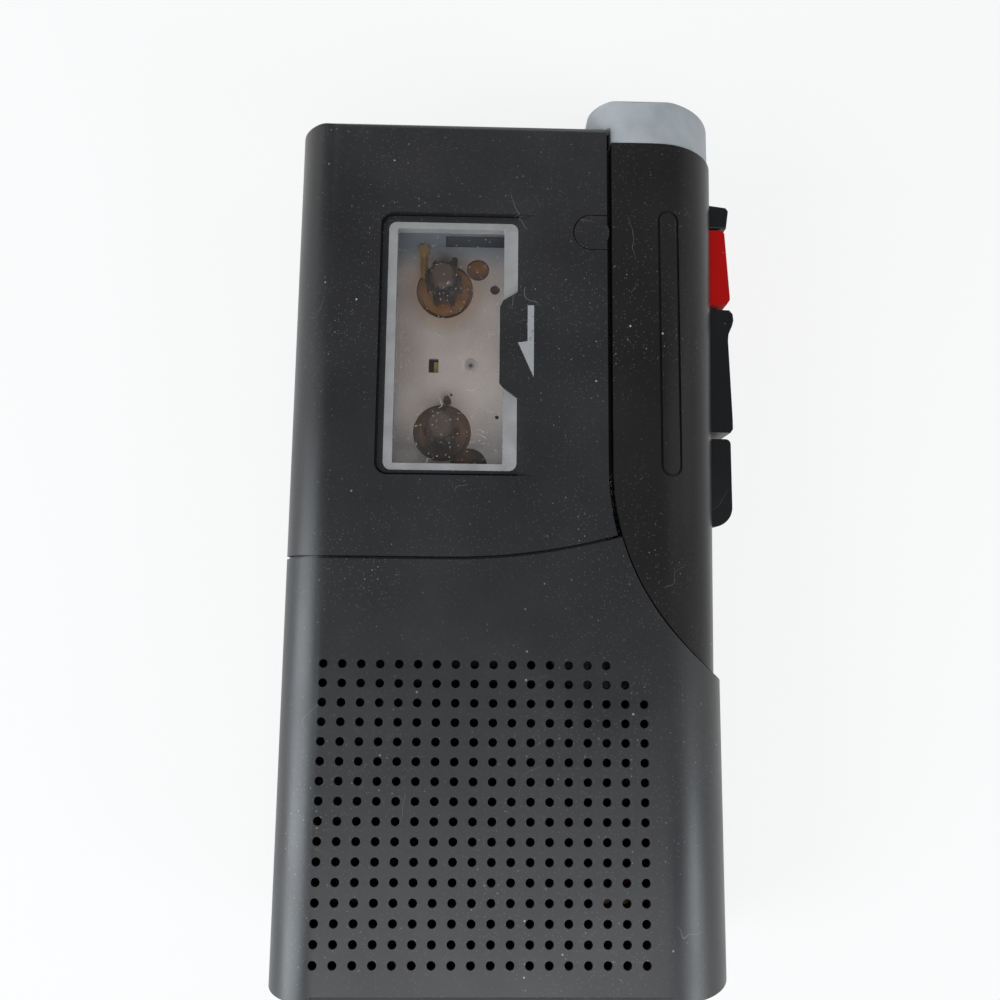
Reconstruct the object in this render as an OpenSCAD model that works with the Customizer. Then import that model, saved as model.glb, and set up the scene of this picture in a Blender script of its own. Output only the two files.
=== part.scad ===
// Pocket recorder for microcassettes: case with a grille, hinged cassette door, side keys and tape drive.
// Millimetres. It lies on its back: X to the keys, Y to the microphone end, Z out of the front.
// The origin is the middle of the flat back.

/* [Part to draw] */
// Sub-part to draw, or all

/* [Case] */
// Width of the case
body_w = 62; // [61.6:0.2:64]
// Length of the case without the microphone cap
body_l = 119; // [118:0.5:124]
// Depth from the back to the front
body_d = 24; // [24:0.25:26]
// Thickness of the moulded walls
wall = 1.6; // [1.4:0.1:1.7]
// Rounding along the front left side
left_r = 7; // [6:0.5:8]
// Rounding along the front right side
right_r = 10; // [9:0.5:10]
// Rounding along both sides of the back
rear_r = 4; // [3:0.5:4.5]
// Rounding of the top and bottom end edges
end_r = 1; // [0.6:0.1:1.2]

/* [Front] */
// Spacing of the grille holes
hole_pitch = 2.5; // [2.4:0.05:2.5]
// Diameter of a grille hole
hole_d = 1.16; // [0.9:0.02:1.3]
// Columns of grille holes
hole_columns = 18; // [12:1:18]
// Rows of grille holes
hole_rows = 16; // [10:1:16]
// Width of the seam around the door
seam = 0.4; // [0.3:0.05:0.5]
// Width of the side panel
panel_w = 16.45; // [16:0.05:16.6]
// Height of the microphone cap above the case
cap_rise = 4.4; // [3.5:0.1:5]

/* [Window] */
// Width of the window with its frame
pane_w = 18.4; // [16:0.2:19]
// Length of the window with its frame
pane_l = 35.8; // [33:0.2:37]
// Width of the pale frame around the pane, at its narrow sides
frame_w = 0.95; // [0.8:0.05:1.6]
// Depth of the recess around the pane
recess = 0.6; // [0.4:0.05:0.7]

/* [Tape drive] */
// Distance between the two reel spindles
reel_gap = 22.5; // [22:0.1:23]
// Radius of the reel tables
reel_r = 8.5; // [8:0.1:8.8]
// Radius of the flywheel
fly_r = 11; // [10:0.1:11.4]
// Radius of the motor can
motor_r = 9; // [8:0.1:9.2]

/* [Keys] */
// Height of the keys across the case's depth
key_h = 8; // [7:0.1:8.2]
// How far the keys stand out of the side
key_out = 3.9; // [3:0.1:4]
// How far a key can be pushed
key_travel = 2; // [1.5:0.1:2]

/* [Clearances] */
// Between pieces that move past each other
gap = 0.3; // [0.25:0.01:0.35]
// Around a shaft that turns in its bore
run = 0.05; // [0.03:0.01:0.08]

/* [Hidden] */
$fn = 48;

case_black = [0.05, 0.05, 0.055];
panel_black = [0.03, 0.03, 0.035];
cap_grey = [0.33, 0.35, 0.38];
key_red = [0.45, 0.01, 0.01];
steel = [0.6, 0.6, 0.62];
brass = [0.75, 0.55, 0.25];
deck_grey = [0.45, 0.42, 0.43];
amber = [0.45, 0.25, 0.08];
rubber = [0.04, 0.04, 0.04];
pale = [0.55, 0.56, 0.6];

// Clearance between pieces fixed to each other
seat = 0.04;

// Faces of the case
right_x = body_w / 2;
left_x = -right_x;
top_y = body_l / 2;
base_y = -top_y;
front_z = body_d;
split_z = body_d / 2;
skin_z = front_z - wall;

// Seam below the door: straight, then an arc that rises to the right
seam_y = top_y - 62.75;
seam_bend_x = -8;
seam_r = 85;

// Side panel: straight left border, then an arc to the lower right
panel_x = right_x - panel_w;
panel_bend_y = top_y - 50.5;
panel_arc_r = 33.3;
door_x = panel_x - 0.7;
cap_y = top_y - 2.45;

// Grille
grille_x = -2.9;
grille_y = base_y + 23.4;

// Right side: the panel leans in from the top end down to the shoulder of the lower case
side_top_x = right_x + 0.2;
side_low_x = right_x - 0.85;
shoulder_y = top_y - 78.3;
side_lean = atan((side_top_x - side_low_x) / (top_y - shoulder_y));

// Side wall beside the keys
recess_x = right_x - 0.8;
lining_x = right_x - 2.8;
flange_x = lining_x - gap;
rail_x = flange_x - 1.2 - key_travel - 0.5;

// Keys along the side
key_z = split_z - 5.5;
pause_y = top_y - 10.5;
record_y = top_y - 22.9;
rocker_y = top_y - 42.75;
play_y = top_y - 57.2;
play_l = 13.3;
pause_travel = 2.5;
rocker_pivot = [lining_x - 1.2, rocker_y + 9.4];

// Cassette bay
deck_z = split_z + 0.5;
deck_t = 1;
reel_x = -9.7;
reel_mid_y = top_y - 31.95;
supply_at = [reel_x, reel_mid_y + reel_gap / 2];
takeup_at = [reel_x, reel_mid_y - reel_gap / 2];
reel_top_z = front_z - 4.5;
table_z = deck_z - 4.1;
table_t = 1.8;

// Drive
fly_at = [5.6, top_y - 50];
motor_at = [15, top_y - 73.5];
fly_z = wall + 1.8;
fly_t = 3;
hub_r = 3.5;
pulley_r = 1.8;
fly_to_reel = takeup_at - fly_at;
fly_to_reel_l = norm(fly_to_reel);
idler_r = (fly_to_reel_l - hub_r - reel_r) / 2 - gap;
idler_at = fly_at + fly_to_reel * (hub_r + gap + idler_r) / fly_to_reel_l;

// Head plate
plate_z = deck_z + gap;
plate_t = 0.8;
plate_right = rail_x - 1;
pinch_at = [11.5, fly_at[1]];

// Door hinge on the left
hinge_r = 1.2;
hinge_x = left_x + hinge_r;
hinge_z = split_z + hinge_r + gap;
lug_l = 4;
lug_y = [top_y - 53.5, top_y - 13.5];

// Window in the door
pane_x = -17.2;
pane_y = top_y - 14.9 - pane_l;
pane_t = 0.8;
frame_z = skin_z - 0.4;

// Fasteners
case_screw_at = [[right_x - 5.5, base_y + 35], [left_x + 5.5, base_y + 35], [right_x - 9.5, top_y - 6.2],
    [left_x + 5.5, top_y - 5.5], [right_x - 5.5, top_y - 64.5]];
deck_screw_at = [[left_x + 6, top_y - 56.5], [left_x + 6, top_y - 17.5], [15, top_y - 7.5],
    [right_x - 11.5, top_y - 58.5]];

// Batteries: the cells lie across the case, and springs take up the room to the contacts at its sides
cell_r = 7.25;
cell_l = 50.5;
contact_x = right_x - wall - 0.5;
cover_t = 1.4;
cell_z = cover_t + 0.2 + cell_r;
cell_y = [base_y + wall + 0.25 + cell_r, base_y + wall + 0.75 + 3 * cell_r];
bay_y = base_y + wall + 1.2 + 4 * cell_r;
cover_half_w = cell_l / 2 + 2.2;

// Top end: volume dial and sockets
dial_r = 6.5;
dial_at = [-14, top_y + 0.8 - dial_r];
dial_z = 5;
dial_t = 2.6;
socket_z = 6.3;
socket_r = 1.8;
ear_x = -2.6;
mic_x = 5.2;
socket_l = 9.6;

// Board
board_z = split_z + 1;
board_x = [left_x + 3.5, 4];
board_y = [base_y + 38.7, seam_y - 2.6];
board_pegs = [[left_x + 6.5, base_y + 41], [left_x + 6.5, seam_y - 5], [1.5, seam_y - 5], [1.5, base_y + 41]];

// What a rounded corner takes off a square one, at a corner that opens towards sx and sy
module corner_cut(x, y, sx, sy, r) {
    if (r > 0.05)
        translate([x, y])
            mirror([sx < 0 ? 1 : 0, 0])
                mirror([0, sy < 0 ? 1 : 0])
                    difference() {
                        translate([-1, -1])
                            square(r + 1);
                        translate([r, r])
                            circle(r);
                    }
}

// Rectangle with its own radius at each corner: low left, low right, high right, high left
module soft_rect(x0, x1, y0, y1, r) {
    difference() {
        translate([x0, y0])
            square([x1 - x0, y1 - y0]);
        corner_cut(x0, y0, 1, 1, r[0]);
        corner_cut(x1, y0, -1, 1, r[1]);
        corner_cut(x1, y1, -1, -1, r[2]);
        corner_cut(x0, y1, 1, -1, r[3]);
    }
}

// Box from one corner to the opposite one
module box(low, high) {
    translate(low)
        cube(high - low);
}

// Upright cylinder from z0 to z1 at a plan position
module post(at, z0, z1, r) {
    translate([at[0], at[1], z0])
        cylinder(h = z1 - z0, r = r);
}

// Rod along Y
module rod_y(x, y0, y1, z, r) {
    translate([x, y1, z])
        rotate([90, 0, 0])
            cylinder(h = y1 - y0, r = r);
}

// Rod along X
module rod_x(x0, x1, y, z, r) {
    translate([x0, y, z])
        rotate([0, 90, 0])
            cylinder(h = x1 - x0, r = r);
}

// Plan shape raised from z0 to z1
module raised(z0, z1) {
    translate([0, 0, z0])
        linear_extrude(z1 - z0)
            children();
}

// Outer form of the whole case, taken in by an inset
module body_form(inset = 0) {
    intersection() {
        translate([0, top_y + 5, 0])
            rotate([90, 0, 0])
                linear_extrude(body_l + 10)
                    soft_rect(left_x + inset, right_x - inset, inset, front_z - inset,
                        [rear_r - inset, rear_r - inset, right_r - inset, left_r - inset]);
        translate([left_x - 5, 0, 0])
            rotate([90, 0, 90])
                linear_extrude(body_w + 10)
                    soft_rect(base_y + inset, top_y - inset, inset, front_z - inset,
                        [end_r - inset, end_r - inset, end_r - inset, end_r - inset]);
    }
}

// Hollow of the case: the right wall is thicker beside the keys
module cavity() {
    intersection() {
        body_form(wall);
        union() {
            box([left_x, base_y, -1], [right_x, base_y + 36, front_z + 1]);
            intersection() {
                translate([-wall, 0, 0])
                    side_form();
                box([left_x, base_y + 30, -1], [lining_x, top_y, front_z + 1]);
            }
        }
    }
}

// Rounded form whose right side leans in towards the shoulder
module side_form() {
    translate([side_top_x, top_y, 0])
        rotate([0, 0, -side_lean])
            translate([0, 5, 0])
                rotate([90, 0, 0])
                    linear_extrude(body_l)
                        soft_rect(-body_w - 5, 0, 0, front_z, [0, rear_r, right_r, 0]);
}

// What is taken off the right side of the rear case, which stays just inside the panel above it
module side_relief() {
    raised(-1, front_z + 1)
        polygon([[side_top_x - 0.4, top_y + 1], [side_top_x - 0.4, top_y], [side_low_x - 0.4, shoulder_y],
            [right_x + 0.1, shoulder_y - 2], [right_x + 1, shoulder_y - 2], [right_x + 1, top_y + 1]]);
}

// Flat pocket in the right side that the head of the pause slider moves in
module pause_pocket() {
    box([recess_x, pause_y - 1, key_z - gap],
        [right_x + 1, pause_y + 4 + pause_travel + gap, key_z + key_h + gap]);
}

// Openings of the right side that the keys come through
module key_openings() {
    box([lining_x - 1, play_y - gap, key_z - gap], [right_x + 1, pause_y - gap, key_z + key_h + gap]);
    box([lining_x - 1, pause_y + 1 - gap, key_z + 2 - gap],
        [right_x + 1, pause_y + 3 + pause_travel + gap, key_z + key_h - 2 + gap]);
}

// Plan area above the seam, moved up by lift
module above_seam(lift) {
    union() {
        translate([left_x - 5, seam_y + lift])
            square([seam_bend_x - left_x + 5, body_l]);
        intersection() {
            translate([seam_bend_x, seam_y - 5])
                square([body_w, body_l]);
            translate([seam_bend_x, seam_y + seam_r + lift])
                circle(seam_r);
        }
    }
}

// Plan area of the side panel, grown by extra
module panel_area(extra) {
    union() {
        translate([panel_x - extra, panel_bend_y])
            square([panel_w + 5, cap_y - panel_bend_y + extra]);
        intersection() {
            translate([panel_x - extra, panel_bend_y - 35])
                square([panel_w + 5, 35]);
            translate([panel_x + panel_arc_r, panel_bend_y])
                circle(panel_arc_r + extra);
        }
    }
}

// Plan area of the lower front case, its upper edge moved down by drop
module front_area(drop) {
    difference() {
        translate([left_x - 5, base_y - 5])
            square([body_w + 10, body_l]);
        above_seam(-seam / 2 - drop);
        panel_area(0.2 + drop);
    }
}

// Where the leaning right side is at y
function side_x(y) = side_top_x - (top_y - y) * tan(side_lean);

// Height of the front face at x, lower where the sides are rounded
function face_z(x, side) = front_z - (x > side - right_r ? fall(x - side + right_r, right_r) :
    x < left_x + left_r ? fall(left_x + left_r - x, left_r) : 0);

// How far a rounding of radius r falls away at a distance across it
function fall(across, r) = r - sqrt(r * r - across * across);

// Boss under the front skin that a case screw bites into, ending inside the skin
module screw_boss(at, side) {
    post(at, split_z, min(face_z(at[0] - 3, side), face_z(at[0] + 3, side)) - wall / 3, 3);
}

module rear_case() {
    color(case_black)
        difference() {
            union() {
                difference() {
                    intersection() {
                        body_form();
                        box([left_x - 1, base_y - 1, -1], [right_x + 1, top_y + 1, split_z]);
                    }
                    cavity();
                    side_relief();
                }
                rear_bosses();
                hinge_lugs();
                battery_walls();
            }
            key_openings();
            pause_pocket();
            cover_opening();
            for (at = case_screw_at) {
                post(at, -1, 2.4, 2.3);
                post(at, 0, split_z + 1, 1.2);
            }
            for (at = deck_screw_at)
                post(at, split_z - 6, split_z + 1, 0.9 + seat);
            top_openings();
            rod_y(hinge_x, lug_y[0] - 2, lug_y[1] + lug_l + 2, hinge_z, 0.5 + seat);
            post(supply_at, wall + 1, deck_z, 0.75 + seat);
            post(takeup_at, wall + 1, deck_z, 0.75 + seat);
            post(fly_at, wall + 0.4, deck_z, 0.75 + run);
        }
}

// Posts of the rear case for screws, deck, reels, flywheel, dial and board
module rear_bosses() {
    for (at = [case_screw_at[0], case_screw_at[1], case_screw_at[2], case_screw_at[4]])
        post(at, wall - 0.5, split_z, 3);
    post(case_screw_at[3], wall - 0.5, deck_z - deck_t, 3);
    for (at = deck_screw_at)
        post(at, wall - 0.5, deck_z - deck_t, 2.2);
    post(supply_at, wall - 0.5, table_z - gap, 2);
    post(takeup_at, wall - 0.5, table_z - gap, 2);
    post(fly_at, wall - 0.5, fly_z - gap, 2.2);
    post(dial_at, wall - 0.5, dial_z - gap, 2.4);
    post(dial_at, wall - 0.5, dial_z + dial_t + 0.6, 1);
    for (at = board_pegs) {
        post(at, wall - 0.5, board_z, 1.6);
        post(at, wall - 0.5, board_z + 1.8, 0.7);
    }
}

// Ears of the rear case that hold the door's hinge pin
module hinge_lugs() {
    for (y = lug_y) {
        rod_y(hinge_x, y, y + lug_l, hinge_z, hinge_r);
        box([left_x + gap + seat, y, split_z - 2], [left_x + 2 * hinge_r, y + lug_l, hinge_z]);
    }
}

// Inner walls and cover rails of the battery bay
module battery_walls() {
    box([left_x + wall - 0.3, bay_y, wall - 0.5], [right_x - wall + 0.3, bay_y + 1.2, split_z]);
    for (s = [-1, 1])
        intersection() {
            cavity();
            box([s * (cell_l / 2 + 2.5) - 1.9, base_y + wall - 0.3, cover_t + gap],
                [s * (cell_l / 2 + 2.5) + 1.9, bay_y + 0.5, cover_t + gap + 1]);
        }
}

// Way out for the battery cover, through the back and the bottom end
module cover_opening() {
    box([-cover_half_w - gap, base_y - 1, -1], [cover_half_w + gap, bay_y + 0.2, cover_t + gap]);
}

// Slot for the volume dial and holes for the two sockets in the top end
module top_openings() {
    box([dial_at[0] - 5.2, top_y - wall - 1, dial_z - gap],
        [dial_at[0] + 5.2, top_y + 1, dial_z + dial_t + gap]);
    for (x = [ear_x, mic_x])
        rod_y(x, top_y - wall - 1, top_y + 1, socket_z, 2.6 + seat);
}

module front_case() {
    color(case_black)
        difference() {
            union() {
                difference() {
                    intersection() {
                        body_form();
                        raised(split_z, front_z + 1)
                            front_area(0);
                    }
                    cavity();
                }
                front_bulkhead();
                seam_tongue();
                for (i = [0, 1])
                    screw_boss(case_screw_at[i], right_x);
                speaker_ring();
            }
            shoulder_cut();
            for (i = [0, 1])
                post(case_screw_at[i], split_z - 1, split_z + 4, 0.9 + seat);
            grille_holes();
        }
}

// Wall along the upper edge of the front case, towards the cassette bay
module front_bulkhead() {
    intersection() {
        body_form(wall / 2);
        raised(split_z + gap, skin_z + 0.3)
            difference() {
                front_area(0);
                front_area(1.3);
                translate([panel_x - 0.6, base_y])
                    square([body_w, body_l]);
            }
    }
}

// Plan strip along the seam below the door, from drop beneath it to lift above it
module seam_strip(drop, lift) {
    intersection() {
        difference() {
            front_area(-lift);
            front_area(drop);
        }
        translate([left_x - 5, base_y])
            square([panel_x - 1 - left_x + 5, body_l]);
    }
}

// Tongue of the front case that reaches under the edge of the door, with a rib that half fills the seam
module seam_tongue() {
    difference() {
        union() {
            seam_layer(wall / 2 + 0.1, 0.9);
            seam_layer(0.3, seam / 2);
        }
        cavity();
    }
}

// Layer along the seam that keeps an inset from the outer face and reaches lift above the front case
module seam_layer(inset, lift) {
    intersection() {
        body_form(inset);
        raised(hinge_z + hinge_r + gap, front_z)
            seam_strip(1, lift);
    }
}

// Room that the door's edge leaves for that tongue
module seam_rebate() {
    intersection() {
        body_form(wall / 2 + 0.1 - gap);
        raised(hinge_z + hinge_r, front_z)
            seam_strip(1, 0.9 + gap);
    }
}

// Slanted step at the right, where the lower case stands out past the side panel
module shoulder_cut() {
    raised(split_z - 1, front_z + 1)
        polygon([[side_low_x, shoulder_y + 9], [side_low_x, shoulder_y], [right_x + 0.1, shoulder_y - 2],
            [right_x + 1, shoulder_y - 2], [right_x + 1, shoulder_y + 9]]);
}

// Low rim of the front case around the speaker
module speaker_ring() {
    difference() {
        post([grille_x, grille_y], skin_z - 1.6, skin_z + 0.3, 19.4);
        post([grille_x, grille_y], skin_z - 2, skin_z + 1, 18.4);
    }
}

// Grid of sound holes with its upper right corner left out
module grille_holes() {
    for (row = [0 : hole_rows - 1])
        for (column = [0 : hole_columns - 1 - max(0, 2 - row)])
            post([grille_x + (column - (hole_columns - 1) / 2) * hole_pitch,
                grille_y + ((hole_rows - 1) / 2 - row) * hole_pitch], skin_z - 0.5, front_z + 1, hole_d / 2);
}

module side_panel() {
    color(panel_black)
        difference() {
            union() {
                difference() {
                    intersection() {
                        side_form();
                        raised(split_z, front_z + 1)
                            panel_area(0);
                    }
                    cavity();
                }
                panel_lip();
                for (i = [2, 4])
                    screw_boss(case_screw_at[i], side_x(case_screw_at[i][1] - 3));
            }
            key_openings();
            pause_pocket();
            for (i = [2, 4])
                post(case_screw_at[i], split_z - 1, split_z + 4, 0.9 + seat);
            capsule_groove();
        }
}

// Stiffening lip below the left border of the side panel, with a ledge under the gap to the door
module panel_lip() {
    box([panel_x, panel_bend_y, skin_z - 1.6], [panel_x + 1.2, cap_y - 0.2, skin_z + 0.3]);
    box([door_x + gap, panel_bend_y, skin_z - 1.6], [panel_x + 0.5, cap_y - 0.2, skin_z - 0.4]);
}

// Capsule-shaped line pressed into the face of the side panel
module capsule_groove() {
    intersection() {
        raised(front_z - 4, front_z + 1)
            difference() {
                capsule_plan(0);
                capsule_plan(0.35);
            }
        difference() {
            translate([0, 0, 5])
                side_form();
            translate([0, 0, -0.3])
                side_form();
        }
    }
}

// Capsule outline on the side panel, taken in by an inset
module capsule_plan(inset) {
    capsule_r = 1.55 - inset;
    capsule_x = right_x - 8.35;
    low_y = top_y - 49.65;
    high_y = top_y - 14.15;
    translate([capsule_x - capsule_r, low_y])
        square([2 * capsule_r, high_y - low_y]);
    for (y = [low_y, high_y])
        translate([capsule_x, y])
            circle(capsule_r);
}

// Form of the microphone cap, taken in by an inset
module cap_form(inset) {
    intersection() {
        translate([0, top_y + cap_rise + 5, 0])
            rotate([90, 0, 0])
                linear_extrude(cap_rise + 13)
                    soft_rect(panel_x - 2.8 + inset, right_x + 0.2 - inset, 2 + inset, front_z - inset,
                        [2 - inset, rear_r - inset, right_r + 1.5 - inset, 5.5 - inset]);
        translate([left_x, 0, 0])
            rotate([90, 0, 90])
                linear_extrude(body_w + 1)
                    soft_rect(cap_y + 0.1 - inset * 2, top_y + cap_rise - inset, inset, front_z - inset,
                        [0, 0.8 - inset, 0.8 - inset, 0]);
    }
}

module mic_cap() {
    mic_at = [panel_x + 5.5, front_z - 8];
    color(cap_grey)
        difference() {
            union() {
                difference() {
                    cap_form(0);
                    cap_form(1.4);
                }
                rod_y(mic_at[0], top_y - 1.5, top_y + cap_rise - 0.8, mic_at[1], 5);
            }
            box([panel_x - 5, cap_y - 1, -1], [right_x + 5, top_y, split_z]);
            box([panel_x - 5, cap_y - 1, split_z - 1], [panel_x, top_y + gap, front_z + 1]);
            rod_y(mic_at[0], top_y - 5, top_y + cap_rise - 1.4, mic_at[1], 4 + seat);
            for (i = [-1.5 : 1 : 1.5])
                box([mic_at[0] + i * 1.8 - 0.45, top_y + 1, mic_at[1] - 3],
                    [mic_at[0] + i * 1.8 + 0.45, top_y + cap_rise + 1, mic_at[1] + 3]);
        }
}

module mic_boot() {
    color(rubber)
        difference() {
            rod_y(panel_x + 5.5, top_y - 1.5, top_y + cap_rise - 1.6, front_z - 8, 4);
            rod_y(panel_x + 5.5, top_y - 3, top_y + cap_rise, front_z - 8, 3 + seat);
        }
}

module mic_capsule() {
    color(steel)
        difference() {
            rod_y(panel_x + 5.5, top_y - 2.5, top_y + cap_rise - 1.8, front_z - 8, 3);
            for (a = [0 : 60 : 300])
                rod_y(panel_x + 5.5 + 1.6 * cos(a), top_y + 1.8, top_y + cap_rise,
                    front_z - 8 + 1.6 * sin(a), 0.3);
        }
}

module cassette_door() {
    color(case_black)
        difference() {
            union() {
                door_shell();
                rod_y(hinge_x, seam_y + seam, top_y - end_r, hinge_z, hinge_r);
                box([door_x - 1.4, seam_y + 6, skin_z - 2], [door_x, top_y - wall, skin_z + 0.3]);
            }
            for (y = lug_y)
                rod_y(hinge_x, y - gap, y + lug_l + gap, hinge_z, hinge_r + gap);
            rod_y(hinge_x, lug_y[0] - 2, lug_y[1] + lug_l + 2, hinge_z, 0.5 + run);
            seam_rebate();
            window_recess();
            raised(skin_z - 1, front_z + 1)
                pane_plan(-seat);
            pad_pocket();
        }
    color(case_black)
        window_tab();
}

// Skin of the door with its left and top walls
module door_shell() {
    difference() {
        intersection() {
            body_form();
            raised(split_z + gap, front_z + 1)
                door_plan();
        }
        cavity();
        box([left_x - 1, base_y, split_z - 1], [left_x + 2 * hinge_r, top_y + 1, hinge_z]);
    }
}

// Plan of the door: its right edge follows the side panel
module door_plan() {
    difference() {
        intersection() {
            above_seam(seam / 2);
            union() {
                soft_rect(left_x - 5, door_x, base_y, top_y, [0, 0, 1.2, 0]);
                translate([door_x - 5, base_y])
                    square([12, panel_bend_y - base_y]);
            }
        }
        panel_area(panel_x - door_x);
    }
}

// Plan of the window, taken in by an inset
module pane_plan(inset) {
    soft_rect(pane_x + inset, pane_x + pane_w - inset, pane_y + inset, pane_y + pane_l - inset,
        [1.1, 1.1, 1.1, 1.1]);
}

// Plan of the clear pane inside the frame, taken in by an inset; the frame is wider at the sides
module clear_plan(inset) {
    soft_rect(pane_x + frame_w + 0.3 + inset, pane_x + pane_w - frame_w - 1 - inset, pane_y + frame_w + inset,
        pane_y + pane_l - frame_w - inset, [0.25, 0.25, 0.25, 0.25]);
}

// Plan of the hollow around the window, taken in by an inset at its three closed sides
module recess_plan(inset) {
    soft_rect(pane_x - 1.1 + inset, pane_x + pane_w + 0.1, pane_y - 0.75 + inset, pane_y + pane_l + 1.2 - inset,
        [1.7 - inset, 0, 0, 1.7 - inset]);
}

// Shallow hollow around the window: a groove at its foot, and a ramp out of it at the right
module window_recess() {
    ramp_x = pane_x + pane_w + 0.1;
    raised(front_z - recess, front_z + 1)
        recess_plan(0);
    raised(front_z - recess - 0.5, front_z)
        difference() {
            recess_plan(0);
            recess_plan(0.3);
        }
    translate([0, pane_y + pane_l + 1.2, 0])
        rotate([90, 0, 0])
            linear_extrude(pane_l + 1.95)
                polygon([[ramp_x, front_z - recess], [ramp_x + 2.3, front_z], [ramp_x + 2.3, front_z + 1],
                    [ramp_x, front_z + 1]]);
}

// Tab of the door that reaches over the pane at face height, with an arrow sunk into it
module window_tab() {
    difference() {
        translate([pane_x + pane_w, pane_y + pane_l / 2 - 0.05, 0]) {
            raised(front_z - recess + seat, front_z)
                polygon([[-2.5, -5.5], [-2.05, -6.1], [-0.2, -7.5], [2.45, -9], [2.45, 9.4], [0.4, 7.9],
                    [-2.1, 6.3], [-2.5, 5.4]]);
            raised(front_z - recess - 0.4, front_z - recess / 2)
                polygon([[0.2, -7.2], [2.3, -8.6], [2.3, 9], [0.2, 7.4]]);
        }
        translate([pane_x + pane_w, pane_y + pane_l / 2 - 0.05, 0])
            raised(front_z - 0.12, front_z + 1)
                polygon([[1.35, 5.75], [2.31, 5.75], [2.31, -4.8], [0, 0.3], [1.35, 0.5]]);
    }
}

// Plan of the finger pad at the door's right edge, taken in by an inset
module pad_plan(inset) {
    pad_r = 2.65 - inset;
    pad_y = top_y - 16.15;
    translate([door_x - 2.2, pad_y - pad_r])
        square([2.2, 2 * pad_r]);
    translate([door_x - 2.2, pad_y])
        circle(pad_r);
}

module pad_pocket() {
    raised(front_z - 0.9, front_z + 1)
        union() {
            pad_plan(0);
            translate([door_x - 0.5, top_y - 18.8])
                square([2, 5.3]);
        }
}

module door_pad() {
    color(case_black)
        raised(front_z - 0.9 + seat, front_z - 0.02)
            pad_plan(0.16);
}

// Pale frame that fills the opening of the door, with a flange behind the door's skin
module window_frame() {
    color(pale)
        difference() {
            union() {
                raised(frame_z, skin_z - seat)
                    pane_plan(-0.7);
                raised(frame_z, front_z - recess)
                    pane_plan(0);
            }
            raised(frame_z - 1, front_z)
                clear_plan(0);
        }
}

module window_pane() {
    color([0.8, 0.85, 0.9, 0.3])
        raised(frame_z, frame_z + pane_t)
            clear_plan(seat);
}

// Rails inside the door that the cassette slides into
module cassette_holder() {
    reach_x = [left_x + 6.5, 8.6];
    color(steel)
        for (s = [-1, 1])
            translate([0, reel_mid_y, 0])
                mirror([0, s < 0 ? 1 : 0, 0]) {
                    box([reach_x[0], 25.3, deck_z + 1.7], [reach_x[1], 26.1, skin_z - seat]);
                    box([reach_x[0], 24.2, deck_z + 1.7], [reach_x[1], 25.5, deck_z + 2.4]);
                }
}

module hinge_pin() {
    color(steel)
        rod_y(hinge_x, lug_y[0] - 1.8, lug_y[1] + lug_l + 1.8, hinge_z, 0.5);
}

// Key body: a plan shape over the height of the keys
module key_block() {
    raised(key_z, key_z + key_h)
        children();
}

// Inner flange and two guide pins of a push key
module key_guide(y0, y1) {
    box([flange_x - 1.2, y0, key_z - 1], [flange_x, y1, key_z + key_h + 1]);
    for (y = [y0 + 3, y1 - 3])
        rod_x(rail_x - 2, flange_x - 0.5, y, key_z + 2.5, 0.9);
}

module pause_slider() {
    head_x = recess_x + gap;
    color(panel_black) {
        key_block()
            polygon([[head_x, pause_y], [recess_x + key_out - 0.1, pause_y],
                [recess_x + key_out + 0.3, pause_y + 2.9], [recess_x + key_out - 0.1, pause_y + 3.45],
                [head_x, pause_y + 3.9]]);
        box([flange_x - 0.5, pause_y + 1, key_z + 2], [head_x + 0.5, pause_y + 3, key_z + key_h - 2]);
        box([flange_x - 1.2, pause_y + 0.3, key_z + 1], [flange_x, pause_y + 3.7, key_z + key_h - 1]);
    }
}

module record_key() {
    tip_x = recess_x + key_out;
    color(key_red) {
        key_block()
            polygon([[flange_x - 0.5, record_y], [tip_x - 0.4, record_y], [tip_x + 0.15, record_y + 0.8],
                [tip_x + 0.15, record_y + 1.3], [tip_x - 0.45, record_y + 11.5],
                [tip_x - 0.8, record_y + 12.05], [flange_x - 0.5, record_y + 12.05]]);
        key_guide(record_y, record_y + 12.05);
    }
}

module wind_rocker() {
    tip_x = recess_x + key_out;
    color(panel_black)
        difference() {
            union() {
                key_block()
                    polygon([[lining_x, rocker_y], [tip_x - 0.3, rocker_y - 0.2],
                        [tip_x + 0.1, rocker_y + 0.4], [tip_x + 0.1, rocker_y + 2],
                        [tip_x - 0.3, rocker_y + 14.2], [tip_x - 0.2, rocker_y + 15.2],
                        [tip_x + 0.4, rocker_y + 16.6], [tip_x + 0.6, rocker_y + 17.4],
                        [tip_x + 0.5, rocker_y + 18.4], [tip_x, rocker_y + 19], [lining_x, rocker_y + 19.2]]);
                box([rocker_pivot[0] - 1.4, rocker_pivot[1] - 2.5, key_z],
                    [lining_x + 1, rocker_pivot[1] + 2.5, key_z + key_h]);
            }
            post(rocker_pivot, key_z - 1, key_z + key_h + 1, 0.7 + run);
        }
}

module play_key() {
    tip_x = recess_x + key_out - 0.3;
    color(panel_black) {
        key_block()
            soft_rect(flange_x - 0.5, tip_x, play_y, play_y + play_l, [0, 3, 0.8, 0]);
        key_guide(play_y, play_y + play_l);
        box([plate_right + gap, play_y + 5, plate_z], [flange_x - 0.5, play_y + 9, plate_z + plate_t]);
    }
}

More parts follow.
